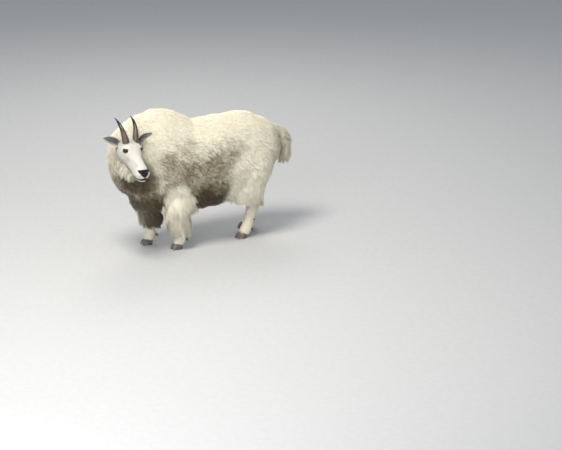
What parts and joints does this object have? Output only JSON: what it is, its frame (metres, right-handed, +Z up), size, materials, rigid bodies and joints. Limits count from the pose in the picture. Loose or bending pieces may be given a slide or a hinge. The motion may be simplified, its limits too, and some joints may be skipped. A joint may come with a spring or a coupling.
{
  "type": "mountain goat",
  "caption": "Life-size still model of a mountain goat in its woolly coat, standing square with its head turned to its left.",
  "frame": {"origin": "the floor, under the middle of the bounding box seen from above", "axes": "-Y is the way the body faces, +X its left side, +Z up"},
  "size_m": [0.6442, 1.563, 1.026],
  "materials": {
    "coat": "matt cream-white wool",
    "face": "matt short white hair",
    "horn": "smooth dark brown horn",
    "hoof": "dull dark grey horn",
    "eye": "wet and glossy",
    "nose": "bare black skin, slightly moist"
  },
  "bodies": {
    "root": {"beard": "coat", "ear_left": "face", "ear_right": "face", "eye_left": "eye", "eye_right": "eye", "foreleg_left": "coat", "foreleg_left_claw_inner": "hoof", "foreleg_left_claw_outer": "hoof", "foreleg_left_dewclaw_inner": "hoof", "foreleg_left_dewclaw_outer": "hoof", "foreleg_left_shank": "coat", "foreleg_right": "coat", "foreleg_right_claw_inner": "hoof", "foreleg_right_claw_outer": "hoof", "foreleg_right_dewclaw_inner": "hoof", "foreleg_right_dewclaw_outer": "hoof", "foreleg_right_shank": "coat", "head": "face", "hindleg_left": "coat", "hindleg_left_claw_inner": "hoof", "hindleg_left_claw_outer": "hoof", "hindleg_left_dewclaw_inner": "hoof", "hindleg_left_dewclaw_outer": "hoof", "hindleg_left_shank": "coat", "hindleg_right": "coat", "hindleg_right_claw_inner": "hoof", "hindleg_right_claw_outer": "hoof", "hindleg_right_dewclaw_inner": "hoof", "hindleg_right_dewclaw_outer": "hoof", "hindleg_right_shank": "coat", "horn_left": "horn", "horn_right": "horn", "neck": "coat", "nose": "nose", "tail": "coat", "torso": "coat"}
  },
  "joints": []
}
